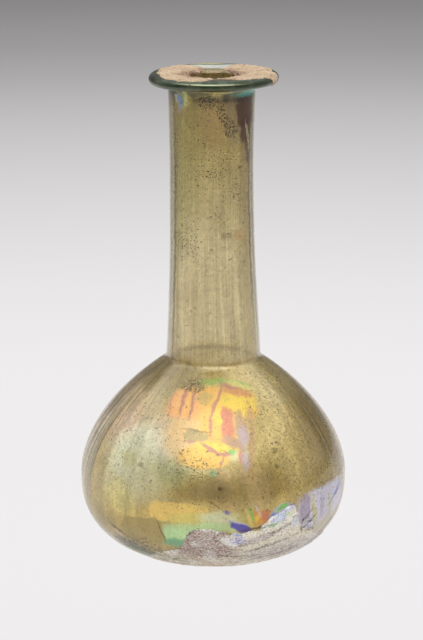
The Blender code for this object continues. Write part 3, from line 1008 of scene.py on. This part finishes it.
def make_rim_crust():
    """The sandy crust that lies over the top of the rim and hangs over its edge at one place."""
    line = evenly(np.concatenate(rim_line(-80)), 0.8 * CRUST_STEP)
    way = way_along(line)[::-1]

    def inside(azimuth, row, place):
        past_start = way[row] - along(azimuth, RIM_CRUST_START) * MM
        before_end = along(azimuth, RIM_CRUST_END) * MM - way[row]
        return min(past_start, before_end) + 0.0007 * crumbled(place, 0.005, 7.0)

    def rise(depth, place):
        steps = 0.00016 + 0.00016 * eased(depth - 0.0011, 0.0002)
        steps += 0.00013 * eased(crumbled(place, 0.007, 5.0), 0.1)
        return steps * eased(depth, 0.0003) + 0.00007 * crumbled(place, 0.0014, 6.0)

    # Rim crust, with painted shade darkening it towards the mouth
    looks = crusty("rim_crust", SAND, [], SAND_PALE, SAND_ROSE, 0.8, 1.0, mouth=SAND_ROSE)
    crust_sheet("rim_crust", line[::-1], -172, 168, inside, rise, looks)


# Colours of the crust as they look
SAND = seen(184, 158, 128)
SAND_PALE = seen(204, 180, 150)
SAND_ROSE = seen(120, 88, 68)
CRUST_BROWN = seen(172, 146, 132)
CRUST_CREAM = seen(244, 232, 208)
CRUST_WHITE = seen(252, 248, 240)
CRUST_GREY = seen(196, 188, 180)
BAND_BEIGE = seen(206, 186, 154)
BAND_GREEN = seen(150, 146, 106)

FOOT_CRUST_MARKS = [
    patch(-4, 13, 26, 14, CRUST_BROWN, 0.95, 1.5),
    patch(26, 14, 26, 16, CRUST_CREAM, 0.9, 2),
    patch(0, 4, 60, 6, BAND_BEIGE, 0.9, 1.5),
    patch(-26, 5, 16, 4, BAND_GREEN, 0.7, 1.5),
    patch(45, 7, 40, 7, CRUST_GREY, 0.8, 2),
    stroke((2, 15), (11, 12.4), 2.6, CRUST_WHITE, 0.8),
    patch(10.4, 13.9, 5, 2.4, VIOLET, 0.85),
    stroke((8, 16.6), (12, 15.4), 1.2, SKY, 0.7),
    stroke((14, 12.6), (33, 17.6), 1, SOIL_AND_SHADOW, 0.8, 0.5),
    stroke((16, 9.6), (36, 13), 0.7, SOIL_AND_SHADOW, 0.6, 0.4),
    stroke((-2, 8), (20, 7.2), 0.6, SOIL_AND_SHADOW, 0.5, 0.4),
    stroke((20, 5), (44, 8), 0.6, SOIL_AND_SHADOW, 0.5, 0.4),
    stroke((-22, 2.6), (6, 1.6), 0.5, SOIL_AND_SHADOW, 0.5, 0.4),
    # Painted shadow line along the crust's top edge
    stroke((14, 17.4), (28, 19), 0.7, SOIL_AND_SHADOW, 0.8),
    stroke((28, 21.8), (35, 23.4), 1.6, SKY, 0.6),
    stroke((26, 20), (33, 21.4), 1, FLECK_GREEN, 0.6),
    patch(36, 18.5, 3, 5, PEARL, 0.8, 0.6),
    patch(28, 20.4, 5, 2.4, SKY, 0.85, 0.4, turn=12),
    stroke((23.5, 18.2), (28.5, 19), 0.9, FLECK_GREEN, 0.7),
    stroke((12, 12.4), (27, 15.6), 2.4, CRUST_BROWN, 0.75, 0.7),
    # Painted shadow lines along the crust's top edge
    stroke((-13, 14.6), (-8, 18.6), 0.9, SOIL_AND_SHADOW, 0.7),
    stroke((-8, 18.6), (-3, 20.2), 0.8, SOIL_AND_SHADOW, 0.6),
    stroke((-3, 20.2), (4, 18), 0.6, SOIL_AND_SHADOW, 0.5),
    stroke((37, 22.5), (41, 13.5), 0.8, SOIL_AND_SHADOW, 0.7),
]


def crusty(name, base, marks, pale, dark, size, flatten, mouth=None):
    """A dry granular surface in layers. Its grains are drawn out round the bottle by flatten.

    mouth is the colour of painted shade that darkens it towards the mouth, if it lies on the rim.
    """
    paint = Surface(name)
    ragged = paint.wobbled(2.4, 0.9, detail=6.0)
    colour = paint.painted(base, marks, ragged)
    if mouth:
        # Painted shade: the crust darker towards the mouth, where it turns down into it
        ring = paint.linear(paint.grain(3.0, 4.0, 0.6), 5.0, paint.radius)
        colour = paint.mix(paint.ramp(ring, 15.0, 12.0, 0.0, 0.85), colour, mouth)
    layers = paint.grain(1.6 * size, 5.0, 0.75, stretch=(1, 1, flatten))
    grains = paint.grain(size, 4.0, 0.8)
    broad = paint.grain(6.0, 4.0, 0.6)
    for height, low, high, most, over in (
        (broad, 0.46, 0.62, 0.55, pale), (layers, 0.52, 0.62, 0.8, pale),
        (layers, 0.46, 0.36, 0.8, dark), (grains, 0.46, 0.36, 0.7, dark),
        (grains, 0.55, 0.64, 0.7, pale),
    ):
        colour = paint.mix(paint.ramp(height, low, high, 0.0, most), colour, over)
    paint.give("Base Color", colour)
    paint.give("Roughness", paint.ramp(grains, 0.3, 0.7, 0.95, 0.7))
    relief = paint.linear(grains, 0.35, paint.times(layers, 0.5))
    paint.raised(relief, 0.7)
    paint.give("Specular IOR Level", 0.3)
    return paint.material


# The studio: a round sweep, whose greys go by the distance from the bottle, and soft lights
SWEEP_STEPS = [(0.0, 239.5), (0.24, 237), (0.36, 231.5), (0.575, 217.5), (0.78, 201), (0.96, 185),
               (1.1, 170.5), (1.28, 156), (1.63, 137), (2.2, 122)]
SWEEP_FLAT = 1.75
SWEEP_CURVE = 0.35
SWEEP_TOP = 1.6
SWEEP_SIDES = 96
LIT_SPOT = (0, 0, 0.06)


def make_sweep():
    """Floor and wall in one turned sheet, lit by its own glow, so no horizon shows."""
    paint = Paint("sweep")
    reach = paint.vector("LENGTH", paint.scaled(paint.place, (MM, MM, 0)))
    ramp = paint.node("ValToRGB")
    furthest = SWEEP_STEPS[-1][0]
    paint.feed(ramp.inputs[0], paint.math("DIVIDE", reach, furthest))
    stops = ramp.color_ramp.elements
    for index, (distance, grey) in enumerate(SWEEP_STEPS):
        stop = stops[index] if index < 2 else stops.new(distance / furthest)
        stop.position = distance / furthest
        stop.color = seen(grey + 1, grey - 1, grey)
    paint.give("Base Color", (0.0, 0.0, 0.0, 1.0))
    paint.give("Roughness", 1.0)
    paint.give("Specular IOR Level", 0.0)
    paint.give("Emission Color", ramp.outputs[0])
    paint.give("Emission Strength", 1.0)
    curve = arc(SWEEP_FLAT, SWEEP_CURVE, SWEEP_CURVE, -90, 0, 16)
    top = (SWEEP_FLAT + SWEEP_CURVE, SWEEP_TOP)
    profile = np.concatenate([[(0.02, 0), (0.5, 0), (1.2, 0)], curve, [top]])
    turns = [2 * math.pi * i / SWEEP_SIDES for i in range(SWEEP_SIDES)]
    points = [(0.0, 0.0, 0.0)]
    for radius, z in profile:
        points += [(radius * math.cos(turn), radius * math.sin(turn), z) for turn in turns]
    faces = [(0, 1 + i, 1 + j) for i, j in around(SWEEP_SIDES)]
    for row in range(len(profile) - 1):
        here, there = 1 + row * SWEEP_SIDES, 1 + (row + 1) * SWEEP_SIDES
        faces += [(here + i, there + i, there + j, here + j) for i, j in around(SWEEP_SIDES)]
    mesh = bpy.data.meshes.new("sweep")
    mesh.from_pydata(points, [], faces)
    mesh.shade_smooth()
    mesh.materials.append(paint.material)
    sweep = placed("sweep", mesh)
    sweep.location.z = -0.0001


def soft_light(name, place, size, power):
    """A soft light that looks at the bottle."""
    light = bpy.data.lights.new(name, "AREA")
    light.shape = "RECTANGLE"
    light.size, light.size_y = size
    light.energy = power
    lamp = placed(name, light)
    lamp.location = place
    lamp.rotation_euler = (Vector(LIT_SPOT) - Vector(place)).to_track_quat("-Z", "Y").to_euler()
    lamp.visible_camera = False


def make_lights():
    world = bpy.data.worlds.new("studio")
    world.use_nodes = True
    background = world.node_tree.nodes["Background"]
    background.inputs["Color"].default_value = (0.93, 0.96, 1.0, 1.0)
    background.inputs["Strength"].default_value = 1.5
    bpy.context.scene.world = world
    soft_light("key", (0.04, -0.95, 1.20), (1.5, 1.2), 10.0)
    soft_light("left", (-1.18, 0.16, 0.66), (1.3, 1.1), 3.2)
    soft_light("right", (1.18, 0.10, 0.66), (1.3, 1.1), 3.0)


def make_camera():
    camera = bpy.data.cameras.new("camera")
    camera.sensor_width = SENSOR
    camera.lens = FOCAL_PIXELS / IMAGE_HEIGHT * SENSOR
    camera.clip_start = 0.01
    holder = placed("camera", camera)
    holder.location = CAMERA_PLACE
    holder.rotation_euler = (math.radians(90 - CAMERA_PITCH), 0, 0)
    bpy.context.scene.camera = holder


def set_rendering():
    scene = bpy.context.scene
    scene.view_settings.view_transform = "Standard"
    scene.cycles.max_bounces = 16
    scene.cycles.transmission_bounces = 14
    scene.cycles.glossy_bounces = 8
    scene.cycles.diffuse_bounces = 3
    scene.cycles.sample_clamp_indirect = 6.0
    scene.cycles.use_denoising = True


make_camera()
make_sweep()
make_lights()
set_rendering()
make_glass()
make_foot_crust()
make_rim_crust()
